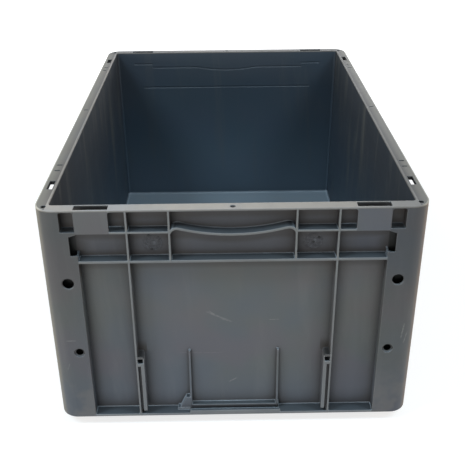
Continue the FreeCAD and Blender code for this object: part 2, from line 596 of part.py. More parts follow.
# The inside, with draft, round corners and a bevelled mouth.
cavity_blank = loft("cavity_blank", [
    rounded_outline("cavity_foot", "foot_height + floor_thick", f"{WALL_X} - wall_thick - draft_inside",
                    f"{WALL_Y} - wall_thick - draft_inside", "cavity_corner"),
    rounded_outline("cavity_head", TOP, f"{WALL_X} - wall_thick", f"{WALL_Y} - wall_thick", "cavity_corner"),
])
floor_level = VALUE["foot_height"] + VALUE["floor_thick"]
cavity = round_edges("cavity", cavity_blank, "floor_round",
                     lambda edge: all(abs(v.Z - floor_level) < 1e-6 for v in edge.Vertexes))
mouth = loft("mouth", [
    rounded_outline("mouth_foot", f"{TOP} - mouth_bevel", f"{WALL_X} - wall_thick - 0.01",
                    f"{WALL_Y} - wall_thick - 0.01", "cavity_corner"),
    rounded_outline("mouth_head", f"{TOP} + mouth_bevel", f"{WALL_X} - wall_thick + mouth_bevel * 2",
                    f"{WALL_Y} - wall_thick + mouth_bevel * 2", "cavity_corner + mouth_bevel * 2"),
])

# Shallow sink lines on the inner face of the end wall, where the plastic shrank behind the ribs.
def sink_line(name, x, drop):
    """A straight sink line: x as (middle, size), and its drop."""
    face = f"({WALL_Y} - wall_thick - draft_inside * {drop} / (height - foot_height - floor_thick))"
    return slab(name, x, (f"-{face} - sink_depth + 2", "4"),
                (f"{TOP} - {drop} - sink_width / 2", f"{TOP} - {drop} + sink_width / 2"))


SINK_FACE = f"{WALL_Y} - wall_thick - draft_inside * sink_grip_drop / (height - foot_height - floor_thick)"
SINK_HUB = f"{TOP} - sink_grip_drop + sink_grip_radius"
sink_ring = cut("sink_ring",
                rod("sink_outer", "0", f"-({SINK_FACE}) - sink_depth", SINK_HUB,
                    "sink_grip_radius + sink_width / 2", "4", "y"),
                rod("sink_inner", "0", f"-({SINK_FACE}) - sink_depth - 1", SINK_HUB,
                    "sink_grip_radius - sink_width / 2", "6", "y"))
sink_grip = doc.addObject("Part::Common", "sink_grip")
sink_grip.Base = sink_ring
sink_grip.Tool = slab("sink_grip_span", ("0", "sink_grip_half * 2"), (f"-({SINK_FACE})", "12"),
                      (f"{TOP} - sink_grip_drop - 5", f"{TOP} - sink_grip_drop + 20"))

# Slots and holes of one end.
end_cuts = [*clip_cuts, sink_grip, sink_line("sink_belt", ("0", "sink_belt_end * 2"), "sink_belt_drop")]
for side in (-1, 1):
    tag = "left" if side < 0 else "right"
    end_cuts.append(sink_line(f"sink_band_{tag}", (f"{side} * (sink_grip_half + sink_band_end) / 2",
                                                   "sink_band_end - sink_grip_half"), "sink_band_drop"))
    end_cuts.append(sink_line(f"sink_hook_{tag}", (f"{side} * (sink_band_end + sink_hook_end) / 2",
                                                   "sink_hook_end - sink_band_end"), "sink_hook_drop"))
    end_cuts.append(slab(f"hook_slot_{tag}",
                         (f"{side} * (hook_in_x + hook_out_x) / 2", "hook_out_x - hook_in_x"),
                         (f"{END} + (rim_reach + shell_thick) / 2", "rim_reach - shell_thick"),
                         (f"{TOP} - rim_thick - 1", f"{TOP} + 1")))
    end_cuts.append(rod(f"peg_hole_{tag}", f"{side} * peg_hole_x", f"{END} - 1", f"{TOP} - peg_hole_drop",
                        "peg_hole_radius", "shell_thick + 2", "y"))
    end_cuts.append(bevel_ring(f"peg_bevel_{tag}", f"{side} * peg_hole_x", END, f"{TOP} - peg_hole_drop",
                               "peg_sink_radius", "peg_hole_radius", "peg_sink_radius - peg_hole_radius"))
    end_cuts.append(rod(f"pin_hole_{tag}", f"{side} * pin_hole_x", f"{END} - 1", f"{SKIRT} + pin_hole_rise",
                        "pin_hole_radius", "shell_thick + 2", "y"))
    end_cuts.append(rod(f"pin_sink_{tag}", f"{side} * pin_hole_x", f"{END} - 1", f"{SKIRT} + pin_hole_rise",
                        "pin_sink_radius", "pin_sink_depth + 1", "y"))
    end_cuts.append(rod(f"corner_hole_{tag}", f"{side} * corner_hole_x", "-corner_hole_y",
                        f"{TOP} - rim_thick - 1", "corner_hole_radius", "rim_thick + 2"))
    for spot, place in (("slot", None), ("near", "slit_near_y"), ("far", "slit_far_y")):
        if place:
            end_cuts.append(slab(f"slit_{spot}_{tag}", (f"{side} * slit_x", "slit_length"),
                                 (f"-{place}", "slit_width"), (f"{TOP} - rim_thick - 1", f"{TOP} + 1")))
        else:
            end_cuts.append(slab(f"rim_slot_{tag}",
                                 (f"{side} * (rim_slot_in_x + rim_slot_out_x) / 2",
                                  "rim_slot_out_x - rim_slot_in_x"),
                                 ("-(rim_slot_in_y + rim_slot_out_y) / 2", "rim_slot_out_y - rim_slot_in_y"),
                                 (f"{TOP} - rim_pad_depth - 1", f"{TOP} + 1")))
end_cuts.append(rod("middle_hole", "0", "-middle_hole_y", f"{TOP} - rim_thick - 1",
                    "middle_hole_radius", "rim_thick + 2"))
# One more slit in the middle of each long rim.
middle_slits = [slab(f"slit_middle_{side + 1}", (f"{side} * slit_x", "slit_length"),
                     ("0", "slit_width"), (f"{TOP} - rim_thick - 1", f"{TOP} + 1")) for side in (-1, 1)]

blank = fuse("blank", [wall, rim, posts] + both_ends("end_set", end_parts) + side_sets + foot_parts)
inside = fuse("inside", [cavity, mouth])
openings = fuse("openings", [inside] + both_ends("end_cut_set", end_cuts) + middle_slits)
container = cut("container", blank, openings)
container.Label = "container"
doc.recompute()

for item in doc.Objects:
    if "Invalid" in item.State or "Error" in item.State:
        raise RuntimeError("object in error: " + item.Name)
    if hasattr(item, "Shape") and (item.Shape.isNull() or not item.Shape.isValid()):
        raise RuntimeError("bad shape: " + item.Name)
if len(container.Shape.Solids) != 1:
    raise RuntimeError("the container is %d solids" % len(container.Shape.Solids))

os.makedirs("parts", exist_ok=True)
container.Shape.exportStep("parts/container.step")
box = container.Shape.BoundBox
print("container %.2f x %.2f x %.2f mm, %.0f cm3" % (
    box.XLength, box.YLength, box.ZLength, container.Shape.Volume / 1000))
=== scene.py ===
# %% [markdown]
# # Dressing a euro container
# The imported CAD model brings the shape: one injection moulding in mid grey polypropylene.
# This lesson gives it what a drawing doesn't have: a camera that stands where the photographer
# stood, plain studio light, a used plastic surface, and the small round marks that a mould
# leaves behind. Lengths are in metres, +Z is up, and the near end faces -Y.

# %% Load the frame
import math

import bpy
from mathutils import Euler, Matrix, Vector


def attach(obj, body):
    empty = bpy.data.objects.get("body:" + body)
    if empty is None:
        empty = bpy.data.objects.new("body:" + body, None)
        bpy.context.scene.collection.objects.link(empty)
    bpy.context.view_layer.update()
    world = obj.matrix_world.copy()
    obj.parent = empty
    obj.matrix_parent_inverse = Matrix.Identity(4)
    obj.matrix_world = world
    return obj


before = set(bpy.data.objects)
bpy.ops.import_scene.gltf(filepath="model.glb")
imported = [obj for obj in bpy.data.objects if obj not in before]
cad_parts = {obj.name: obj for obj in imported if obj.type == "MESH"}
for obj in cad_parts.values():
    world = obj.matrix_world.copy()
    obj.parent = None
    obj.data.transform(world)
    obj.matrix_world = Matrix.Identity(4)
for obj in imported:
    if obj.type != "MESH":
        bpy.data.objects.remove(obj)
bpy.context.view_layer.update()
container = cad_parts["container"]

MM = 0.001

# %% [markdown]
# ## The camera
# The four corners of the rim, the lower edge and the floor inside were fitted with a pinhole
# camera. It stands about a metre in front of the near end and looks down by 27 degrees. The
# photograph was cropped, so the optical axis isn't in its middle: two small lens shifts say so.

# %% Camera
IMAGE = 465
FOCAL_PIXELS = 740.0
AXIS_PIXEL = (230.4, 208.6)
CAMERA_PLACE = (-0.0097, -0.9541, 0.6144)
CAMERA_DEGREES = (62.959, 0.432, -0.854)
lens = bpy.data.cameras.new("camera")
lens.sensor_width = 36
lens.lens = FOCAL_PIXELS / IMAGE * lens.sensor_width
lens.shift_x = (IMAGE / 2 - AXIS_PIXEL[0]) / IMAGE
lens.shift_y = (AXIS_PIXEL[1] - IMAGE / 2) / IMAGE
camera = bpy.data.objects.new("camera", lens)
camera.location = CAMERA_PLACE
camera.rotation_euler = Euler([math.radians(a) for a in CAMERA_DEGREES])
bpy.context.scene.collection.objects.link(camera)
bpy.context.scene.camera = camera
bpy.context.scene.view_settings.view_transform = "Standard"
print("lens %.1f mm, shift %.4f %.4f" % (lens.lens, lens.shift_x, lens.shift_y))

# %% [markdown]
# ## Nodes as Python
# A material that varies needs many small Math nodes. A `Signal` wraps the output of a node, so
# that `1 - mask * 0.5` writes them. Every other node comes from `Tree.node`: its settings first,
# then the values or links of its sockets. Geometry trees use the same method.


# %% Trees
class Tree:
    """A node tree, and one way to add a node to it."""

    def __init__(self, tree):
        self.tree = tree

    def node(self, kind, settings=None, sockets=None):
        node = self.tree.nodes.new(kind)
        for key, value in (settings or {}).items():
            setattr(node, key, value)
        for key, value in (sockets or {}).items():
            if isinstance(value, Signal):
                value = value.socket
            if isinstance(value, bpy.types.NodeSocket):
                self.tree.links.new(value, node.inputs[key])
            else:
                node.inputs[key].default_value = value
        return node


# %% Signals
class Signal:
    """A number that varies over the surface."""

    def __init__(self, graph, socket):
        self.graph, self.socket = graph, socket

    def math(self, operation, *values):
        node = self.graph.node("ShaderNodeMath", {"operation": operation}, dict(enumerate(values)))
        return Signal(self.graph, node.outputs[0])

    def __add__(self, other):
        return self.math("ADD", self, other)

    __radd__ = __add__

    def __sub__(self, other):
        return self.math("SUBTRACT", self, other)

    def __rsub__(self, other):
        return self.math("SUBTRACT", other, self)

    def __mul__(self, other):
        return self.math("MULTIPLY", self, other)

    __rmul__ = __mul__

    def __pow__(self, other):
        return self.math("POWER", self, other)

    def __abs__(self):
        return self.math("ABSOLUTE", self)

    def least(self, other):
        return self.math("MINIMUM", self, other)

    def most(self, other):
        return self.math("MAXIMUM", self, other)

    def step(self, low, high):
        """0 below low, 1 above high, smooth between. Low may be the larger of the two."""
        node = self.graph.node(
            "ShaderNodeMapRange", {"interpolation_type": "SMOOTHSTEP"},
            {"Value": self, "From Min": low, "From Max": high, "To Min": 0.0, "To Max": 1.0})
        return Signal(self.graph, node.outputs[0])


def distance(u, v):
    return (u * u + v * v) ** 0.5


def seen_rays(tree):
    """1 where something is seen, straight or by reflection, and 0 where it only gives light."""
    rays = tree.node("ShaderNodeLightPath").outputs
    straight, glossy, through = (
        Signal(tree, rays["Is %s Ray" % kind]) for kind in ("Camera", "Glossy", "Transmission"))
    return straight.most(glossy).most(through)


# %% Materials
class Graph(Tree):
    """The node tree of one material."""

    def __init__(self, name):
        self.material = bpy.data.materials.new(name)
        self.material.use_nodes = True
        super().__init__(self.material.node_tree)
        self.tree.nodes.clear()
        self.place = self.node("ShaderNodeTexCoord").outputs["Object"]

    def xyz(self, vector):
        split = self.node("ShaderNodeSeparateXYZ", None, {0: vector})
        return [Signal(self, split.outputs[k]) for k in range(3)]

    def stretched(self, scale, turn=(0, 0, 0)):
        """Object coordinates, turned and then scaled by a number for each axis."""
        turned = self.node("ShaderNodeMapping", {"vector_type": "POINT"},
                           {"Vector": self.place, "Rotation": turn})
        return self.node("ShaderNodeVectorMath", {"operation": "MULTIPLY"},
                         {0: turned.outputs[0], 1: scale}).outputs[0]

    def noise(self, scale, detail, rough, vector=None, twist=0.0):
        node = self.node("ShaderNodeTexNoise", None, {
            "Vector": vector or self.place, "Scale": scale, "Detail": detail,
            "Roughness": rough, "Distortion": twist})
        return Signal(self, node.outputs["Fac"])

    def mix(self, factor, first, second):
        """Mix two colours; each is a socket or three numbers."""
        node = self.node("ShaderNodeMix", {"data_type": "RGBA"})
        for key, value in ((0, factor), (6, first), (7, second)):
            if isinstance(value, Signal):
                value = value.socket
            if isinstance(value, bpy.types.NodeSocket):
                self.tree.links.new(value, node.inputs[key])
            else:
                node.inputs[key].default_value = value if key == 0 else (*value, 1.0)
        return node.outputs[2]

    def finish(self, shader):
        self.node("ShaderNodeOutputMaterial", None, {"Surface": shader})
        print(self.material.name, len(self.tree.nodes), "nodes")
        return self.material


# %% [markdown]
# ## The studio
# The background is white, and the floor keeps a soft shadow. A real white floor would throw so
# much light back that the undersides of the ribs lose their shade, so this one is a mid grey that
# only looks white: what the camera sees of it glows a little, and further out a little more.

# %% Floor
WHITE = (1, 1, 1, 1)
FLOOR_GREY, GLOW, FAR_GLOW = 0.42, 0.74, 0.45
floor_paint = Graph("studio_floor")
away = distance(*floor_paint.xyz(floor_paint.place)[:2]).step(0.35, 1.5)
glow = floor_paint.node("ShaderNodeEmission", None, {
    "Color": WHITE, "Strength": seen_rays(floor_paint) * (GLOW + away * FAR_GLOW)})
chalk = floor_paint.node("ShaderNodeBsdfDiffuse", None, {
    "Color": (FLOOR_GREY, FLOOR_GREY, FLOOR_GREY, 1)})
both = floor_paint.node("ShaderNodeAddShader", None, {0: chalk.outputs[0], 1: glow.outputs[0]})
floor_material = floor_paint.finish(both.outputs[0])

REACH = 12.0
floor_mesh = bpy.data.meshes.new("floor")
floor_corners = [(-REACH, -REACH, 0), (REACH, -REACH, 0), (REACH, REACH, 0), (-REACH, REACH, 0)]
floor_mesh.from_pydata(floor_corners, [], [(0, 1, 2, 3)])
floor_mesh.materials.append(floor_material)
floor = bpy.data.objects.new("floor", floor_mesh)
bpy.context.scene.collection.objects.link(floor)

# %% World
AMBIENT, AMBIENT_STRENGTH = (0.86, 0.94, 1.0, 1), 0.19
world = bpy.data.worlds.new("studio")
bpy.context.scene.world = world
world.use_nodes = True
world.node_tree.nodes.clear()
sky = Tree(world.node_tree)
ambient = sky.node("ShaderNodeBackground", None, {0: AMBIENT, 1: AMBIENT_STRENGTH})
white = sky.node("ShaderNodeBackground", None, {0: WHITE, 1: 1.0})
pick = sky.node("ShaderNodeMixShader", None, {
    0: seen_rays(sky), 1: ambient.outputs[0], 2: white.outputs[0]})
sky.node("ShaderNodeOutputWorld", None, {0: pick.outputs[0]})

# %% [markdown]
# ## The lamps
# The floor inside the container and the tops of the ribs are bluer than the end face. So cool
# light comes from above, as from two roof windows: the long walls cut it off, and their shadows
# meet in a V on the far wall. Neutral light comes from the front, so low that the near wall keeps
# it out of the inside. Two weak warm lamps touch the round corners.

# %% Lamps
def soft_box(name, place, target, size, watts, colour):
    """A rectangular lamp at a place, turned towards a point."""
    lamp = bpy.data.lights.new(name, "AREA")
    lamp.shape = "RECTANGLE"
    lamp.size, lamp.size_y = size
    lamp.energy = watts
    lamp.color = colour
    holder = bpy.data.objects.new(name, lamp)
    holder.location = place
    holder.rotation_euler = (Vector(target) - Vector(place)).to_track_quat("-Z", "Y").to_euler()
    bpy.context.scene.collection.objects.link(holder)
    print("%-14s %3d W at %s" % (name, watts, place))


ROOF_BLUE = (0.72, 0.89, 1.0)
soft_box("roof_left", (-1.35, -0.9, 2.1), (0, 0, 0.2), (0.5, 0.9), 33, ROOF_BLUE)
soft_box("roof_right", (1.35, -0.9, 2.1), (0, 0, 0.2), (0.5, 0.9), 25, ROOF_BLUE)
soft_box("front_light", (-1.0, -2.7, 0.28), (0, -0.3, 0.15), (2.0, 0.5), 33, (1.0, 0.98, 0.955))
soft_box("behind_light", (0.5, 3.0, 0.9), (0, 0.3, 0.15), (2.2, 1.0), 26, (0.95, 0.97, 1.0))
soft_box("warm_left", (-2.0, -0.3, 0.5), (-0.2, 0, 0.15), (0.8, 0.8), 14, (1.0, 0.86, 0.68))
soft_box("warm_right", (2.0, -0.3, 0.5), (0.2, 0, 0.15), (0.8, 0.8), 16, (1.0, 0.78, 0.58))

# %% [markdown]
# ## The plastic
# Polypropylene from an injection mould is matt with a fine spark-eroded grain. In use its edges
# go pale, because rubbed polypropylene whitens, and dust settles on what faces up. Shade in the
# corners between the ribs is painted into the colour. First come the masks that say where on the
# moulding a point is.
# They all come from its position and facing, so they stay in place when the container moves.

# %% Where on the moulding
plastic = Graph("moulded_plastic_grey")
x, y, z = plastic.xyz(plastic.place)
across, along = abs(x), abs(y)
facing = plastic.xyz(plastic.node("ShaderNodeNewGeometry").outputs["True Normal"])

# Sizes of the moulding in millimetres, in plan from its middle and up from the ground.
HALF_WIDTH, HALF_LENGTH, CORNER_RADIUS = 200, 300, 20
RIM_FOOT, BAND_FOOT, BELT_FOOT = 278.0, 253.3, 218.8
BAND_TOP, BELT_TOP = 255.5, 221.6
POST_X, POST_Y = 159.0, 259.8
HOOK_IN, HOOK_OUT = 125.0, 160.0
HOLLOW_X, HOLLOW_Y, HOLLOW_TOP = 161.7, 262.5, 251.0
POCKET_X, POCKET_FOOT = 159.8, 252.0
CLIP_IN, CLIP_OUT, CLIP_FOOT, CLIP_Y = 96.8, 106.8, 95.6, 284
# The line between the inner and the outer face of the walls, at the floor, and how it leans.
WALL_X, WALL_Y, FLOOR_Z, LEAN = 185.1, 285.1, 14.8, 0.007
# How far the grip rib hangs below the upper band, and how fast it rises on each side, per metre.
GRIP_SAG, GRIP_CURVE = 4.9, 2.5
# The mould marks stand on the wall of the ends, between these two distances from the middle,
# within a radius round this x and z.
MARK_IN, MARK_OUT = 286.8, 290.5
MARK_X, MARK_Z, MARK_REACH = 83, 236, 11.0


def past(signal, edge, blur=0.3):
    """1 beyond an edge in millimetres, 0 before it."""
    return signal.step((edge - blur) * MM, (edge + blur) * MM)


def between(signal, low, high):
    return past(signal, low) * (1 - past(signal, high))


lean = (z - 15 * MM) * LEAN  # 15 mm: the top of the floor, about
inside = (1 - past(across - lean, WALL_X)) * (1 - past(along - lean, WALL_Y)) * past(z, FLOOR_Z)
outside = 1 - inside
# The outer skin is a box with round corners: its distance from the corner's axis.
skin = past(distance((across - (HALF_WIDTH - CORNER_RADIUS) * MM).most(0),
                     (along - (HALF_LENGTH - CORNER_RADIUS) * MM).most(0)), CORNER_RADIUS - 1.4)
end_skin = past(along, HALF_LENGTH - 0.6)
side_skin = past(across, HALF_WIDTH - 0.6)
on_rim = past(z, RIM_FOOT + 0.6)
post = skin * past(across, POST_X) * past(along, POST_Y)
hook = end_skin * between(across, HOOK_IN, HOOK_OUT) * past(z, BAND_FOOT - 0.1)
# Inside the hollow posts, which is painted black as shade.
hollow = (past(across, HOLLOW_X, 1.0) * past(along, HOLLOW_Y) * (1 - past(z, HOLLOW_TOP))
          * (1 - skin) * outside)
rib_front = (end_skin + side_skin).least(1) * (1 - post) * (1 - hook) * (1 - on_rim)
outer_corner = (skin * (1 - end_skin) * (1 - side_skin) * (1 - on_rim)
                * across.step(0.191, 0.198))
# The pockets beside the hook plates and the tops of the clips, which get painted shade.
pocket = past(across, POCKET_X) * past(z, POCKET_FOOT) * (1 - skin) * outside * (1 - on_rim)
clip_top = (between(across, CLIP_IN, CLIP_OUT) * past(z, CLIP_FOOT) * (1 - z.step(0.101, 0.114))
            * past(along, CLIP_Y) * outside)

# %% Which way it faces, and where shade gathers
upward, sideways = facing[2].step(0.6, 0.95), abs(facing[0]).step(0.5, 0.9)
on_wall = outside * (1 - skin) * (1 - upward)
in_bands = past(z, BELT_FOOT) * outside * (1 - skin)
inner_wall = inside * (1 - upward)
# Painted shade gathers just under the rim and both bands, above their ledges, and in the lower band
# beside the posts. The middle of the upper band sags into the hand grip, and its painted shade with
# it.
sagged = z + (GRIP_SAG * MM - across ** 2 * GRIP_CURVE).most(0.0)
UNDER = ((z, RIM_FOOT, 0.62), (sagged, BAND_FOOT, 0.60), (z, BELT_FOOT, 0.42))
ABOVE = ((sagged, BAND_TOP, 0.42), (z, BELT_TOP, 0.42))
overhung = on_wall * sum(
    height.step((foot - 16) * MM, (foot - 9.5) * MM) * (1 - past(height, foot)) * depth
    for height, foot, depth in UNDER)
overhung = overhung.most(on_wall * sum(
    past(height, top) * (1 - height.step((top + 1) * MM, (top + 8) * MM)) * depth
    for height, top, depth in ABOVE))
beside_posts = in_bands * (1 - past(z, BAND_FOOT)) * across.step(0.146, 0.161)
overhung = overhung.most(on_wall * beside_posts * 0.5)
mark_face = between(along, MARK_IN, MARK_OUT)
near_marks = mark_face * (
    1 - past(distance(across - MARK_X * MM, z - MARK_Z * MM), MARK_REACH, 1.5))
print(len(plastic.tree.nodes), "nodes for the masks")

# %% [markdown]
# Cycles can look around a point with short rays. Inside the solid they soon leave it near an outer
# edge, which gives the mask for wear. Outside they hit the next wall near an inner edge, which
# gives two
# masks for painted shade: a narrow one for the crease and a wide one for the corner.
# The Bevel node rounds every edge for the light, and the slope of its normal marks the small
# fillets along each ledge, which get a painted highlight as thin pale lines.

# %% Edges and corners
RAYS = 6


def occlusion(reach, inward):
    """How much of the surroundings within a reach in millimetres is closed off."""
    node = plastic.node("ShaderNodeAmbientOcclusion", {
        "inside": inward, "only_local": True, "samples": RAYS}, {"Distance": reach * MM})
    return 1 - Signal(plastic, node.outputs["AO"])


worn_edge = occlusion(1.6, True)
crease = occlusion(7, False)
corner = occlusion(24, False)
soft = plastic.node("ShaderNodeBevel", {"samples": RAYS}, {"Radius": 0.9 * MM})
wide = plastic.node("ShaderNodeBevel", {"samples": RAYS}, {"Radius": 2.2 * MM})
slope = plastic.xyz(wide.outputs[0])[2]
fillet = slope.step(0.10, 0.45) * (1 - slope.step(0.88, 0.995))

# %% Blotches and grain
mottle = plastic.noise(6.0, 3.0, 0.55)
blotch = plastic.noise(13.0, 2.0, 0.5, plastic.stretched((1.0, 1.0, 0.7), (0.4, 0.9, 0.2)))
patch = plastic.noise(23.0, 3.0, 0.6, plastic.stretched((1.0, 0.5, 1.0), (0.0, 0.3, 0.0)))
speck = plastic.noise(320.0, 2.0, 0.55)
grain = plastic.noise(1100.0, 2.0, 0.6)
streak = plastic.noise(42.0, 4.0, 0.65, plastic.stretched((1.0, 1.0, 0.10), (0.05, 0.06, 0.0)), 0.4)
uneven = patch - 0.5

# %% [markdown]
# ## Scuffs
# A crate that slides past others gets a few single scuffs. Each is a short, slanted streak on the
# near end: its middle in millimetres, its slant in degrees, its length, its width and its strength.

# %% Scuffs
near_end = y.step(-0.284, -0.2865)


def scuff(middle, slant, length, width, strength):
    c, s = math.cos(math.radians(slant)), math.sin(math.radians(slant))
    u = (x - middle[0] * MM) * c + (z - middle[1] * MM) * s
    v = (z - middle[1] * MM) * c - (x - middle[0] * MM) * s + uneven * 2 * MM
    ends = 1 - abs(u).step(length * 0.3 * MM, length * 0.5 * MM)
    return ends * (1 - abs(v).step(width * 0.15 * MM, width * 0.5 * MM)) * strength


SCUFFS = [
    ((-16, 142), -25, 34, 3.0, 0.55),
    ((-22, 146), -38, 14, 1.6, 0.6),
    ((-8, 137), -18, 16, 1.6, 0.4),
    ((-0.5, 53.8), 32, 13, 1.7, 0.8),
    ((44.5, 137), 2, 13, 1.3, 0.6),
    ((-36.5, 93), -1, 58, 1.0, 0.35),
    ((-177, 121.5), 0, 12, 1.5, 0.7),
    ((184, 128), 84, 22, 2.2, 0.6),
    ((188, 118), 78, 16, 1.8, 0.5),
    ((-183, 86), 70, 10, 2.0, 0.35),
]
scuffed = scuff(*SCUFFS[0])
for values in SCUFFS[1:]:
    scuffed = scuffed.most(scuff(*values))
scuffed = scuffed * near_end * speck.step(0.25, 0.65)
print(len(SCUFFS), "scuffs")

# %% Round marks
# x, z in millimetres, then what stands there. The far end is the near end, turned round.
RING, PIN = 0, 1
MARKS = [(-81.8, 236.2, RING), (84.4, 236.0, RING),
         (-87.0, 245.0, PIN), (-84.3, 228.4, PIN), (83.4, 234.6, PIN), (89.1, 239.8, PIN)]
own_x = x * (1 - 2 * past(y, 0))
pin_spots = mark_face * sum(
    1 - past(distance(own_x - mx * MM, z - mz * MM), 1.5, 0.5)
    for mx, mz, kind in MARKS if kind == PIN)
print(len(MARKS), "marks on each end")

# %% [markdown]
# ## Colours
# The colours are laid over each other like glazes: the plastic with its cool, green and violet
# blotches, the inside in painted shade and painted light, the darker corner posts with painted
# shade towards the top and the right, pale rib fronts, the painted highlight of the fillets,
# painted warm reflections on the round corners, dust on the rim, wear on the edges, and last
# painted shade in the corners and the black inside the hollow posts, which is painted shade too.

# %% Colours
COOL, GREEN, VIOLET = (0.079, 0.090, 0.104), (0.088, 0.094, 0.091), (0.095, 0.089, 0.101)
# The inside: walls in painted shade with the blue of the light from above, the floor in painted
# light.
INNER_WALL_SHADED, INNER_FLOOR_LIT = (0.030, 0.061, 0.096), (0.27, 0.33, 0.38)
INNER_STREAK = (0.082, 0.085, 0.080)
RIB_PALE = (0.180, 0.183, 0.183)
# Ledge tops and the bays in the bands are darkened with painted shade.
LEDGE_SHADED, BAY_TINT_AND_SHADE = (0.052, 0.063, 0.072), (0.060, 0.067, 0.086)
GLINT = (0.42, 0.475, 0.53)
DUST_WARM, DUST_COOL = (0.41, 0.35, 0.30), (0.355, 0.33, 0.32)
WORN, WARM_FRINGE, BROWN_FRINGE = (0.28, 0.272, 0.262), (0.19, 0.172, 0.132), (0.17, 0.120, 0.082)
BLUISH, BROWNISH = (0.074, 0.088, 0.114), (0.104, 0.096, 0.092)
OLIVE, EARTH = (0.60, 0.54, 0.44), (0.160, 0.146, 0.132)
# Dark colours: a cool and a warm brown painted shade, and black.
SHADE, SHADE_WARM, BLACK = (0.012, 0.013, 0.016), (0.021, 0.017, 0.014), (0.003, 0.004, 0.004)

# A painted warm reflection on the round outer corners, beige on the left and brown on the right.
warm_fringe = plastic.mix(past(x, 0), WARM_FRINGE, BROWN_FRINGE)
dust = plastic.mix(blotch.step(0.42, 0.58), DUST_WARM, DUST_COOL)
print("plastic from", COOL, "to", GREEN)

# %% Strength of the layers
post_shade = 0.23 + z.step(0.10, 0.27) * 0.30 + x.step(0.0, 0.1) * 0.08
near_left = (1 - y.step(-0.28, -0.10)) * (1 - x.step(-0.1, 0.1))
inner_shade = z.step(0.08, 0.26) * 0.46 + sideways * (0.36 + near_left * 0.2)
# Dust on the rim, thickest on the near end and less elsewhere; towards the right it thins as
# painted shade, where the light is weaker.
rim_dust_and_shade = upward * on_rim * (
    0.95 - x.step(-0.08, 0.17) * 0.55 - y.step(-0.290, -0.24) * 0.55 + uneven * 0.9)
rim_shade = (x.step(0.10, 0.19) * 0.22).most(y.step(0.27, 0.29) * 0.45)
# A painted highlight on the fillets, strongest in the creases, weaker inside, on the posts, the
# clip tops and in the pockets.
glint = (fillet * (0.2 + crease.step(0.08, 0.35) * 0.8) * (1 - inside * z.step(0.02, 0.03) * 0.7)
         * (1 - post * 0.6) * (1 - clip_top * 0.7) * (1 - pocket * 0.7))
wear = (worn_edge.step(0.22, 0.6) * (speck * 0.5 + 0.15) * (1 - hollow)
        * (1 - near_marks * 0.7) * 0.6)
kept_light = (1 - fillet * 0.8) * (1 - upward * 0.75)
print(len(plastic.tree.nodes), "nodes so far")

# %% The layers
LAYERS = (
    # The plastic itself.
    (blotch.step(0.48, 0.66) * 0.7, VIOLET),
    ((1 - z.step(0.03, 0.10)) * (0.3 + mottle * 0.5), BLUISH),
    (z.step(0.10, 0.17) * blotch.step(0.40, 0.62) * 0.6, BROWNISH),
    # The bays in the bands: a bluish violet tint with painted shade from the rim and ribs around
    # them.
    (in_bands * 0.7, BAY_TINT_AND_SHADE),
    (post * post_shade, SHADE),
    (hook * (0.25 + uneven * 0.6), VIOLET),
    (hook * 0.12, SHADE),
    (streak.step(0.48, 0.75) * outside * (1 - upward) * 0.07, WORN),
    # The inside: its walls in painted shade, its floor and the foot of the far wall in painted
    # light.
    (inner_wall * 0.75, INNER_WALL_SHADED),
    (inner_wall * inner_shade, SHADE),
    # Painted light at the foot of the far wall.
    (inner_wall * (1 - sideways) * (1 - z.step(0.02, 0.16)) * 0.12, INNER_FLOOR_LIT),
    # The floor inside in painted light from above.
    (inside * upward * 0.8, INNER_FLOOR_LIT),
    (inner_wall * streak.step(0.50, 0.72) * (0.2 + sideways * 0.4), INNER_STREAK),
    (inside * upward * streak.step(0.45, 0.7) * 0.2, WORN),
    # Rib fronts, painted warm reflections on the round corners, ledges in painted shade, and the
    # rim.
    # Rib fronts rubbed pale, with a painted highlight of their rounded edges.
    (rib_front * (0.55 + uneven * 0.9), RIB_PALE),
    # A painted warm reflection along the round outer corners.
    (outer_corner * (0.55 + uneven * 0.9), warm_fringe),
    (post * (1 - z.step(0.02, 0.11)) * patch.step(0.42, 0.62) * 0.4, EARTH),
    # Ledge tops in painted shade, in the blue of the light from above.
    (upward * outside * (1 - on_rim) * 0.75, LEDGE_SHADED),
    (on_rim, EARTH),
    (rim_dust_and_shade, dust),
    (on_rim * across.step(0.188, 0.197) * (0.25 + patch * 0.6), OLIVE),
    (on_rim * rim_shade, SHADE),
    # Painted highlight on the fillets, then wear and scuffs.
    (glint * (0.7 + uneven * 0.8), GLINT),
    (wear, WORN),
    (scuffed * 0.62, WORN),
    # Painted shade in the corners, creases and pockets, under the overhangs and on the clip tops,
    # and the black inside the hollow posts, which is painted shade too.
    (corner.step(0.02, 0.62) * (1 - inside * 0.8) * kept_light * 0.75, SHADE_WARM),
    (crease.step(0.10, 0.60) * kept_light * 0.62, SHADE),
    (overhung, SHADE_WARM),
    (pocket * 0.45, SHADE_WARM),
    (in_bands * past(across, 188.3) * z.step(0.25, 0.27) * 0.6, SHADE),
    (clip_top * 0.7, SHADE_WARM),
    (near_marks * speck.step(0.4, 0.6) * 0.5, SHADE),
    (pin_spots * 0.85, BLACK),
    (hollow, BLACK),
)
body = plastic.mix(mottle.step(0.36, 0.62), COOL, GREEN)
for cover, colour in LAYERS:
    body = plastic.mix(cover, body, colour)
print(len(LAYERS), "layers")

# %% The shader
relief = plastic.node("ShaderNodeBump", None, {
    "Strength": 0.12, "Distance": 0.2 * MM, "Height": grain, "Normal": soft.outputs[0]})
shader = plastic.node("ShaderNodeBsdfPrincipled", None, {
    "Base Color": body,
    "Roughness": 0.50 + patch * 0.16 - wear * 0.08,
    "Normal": relief.outputs[0],
    "IOR": 1.49,
    "Specular IOR Level": 0.4,
})
plastic_material = plastic.finish(shader.outputs[0])
container.data.materials.clear()
container.data.materials.append(plastic_material)

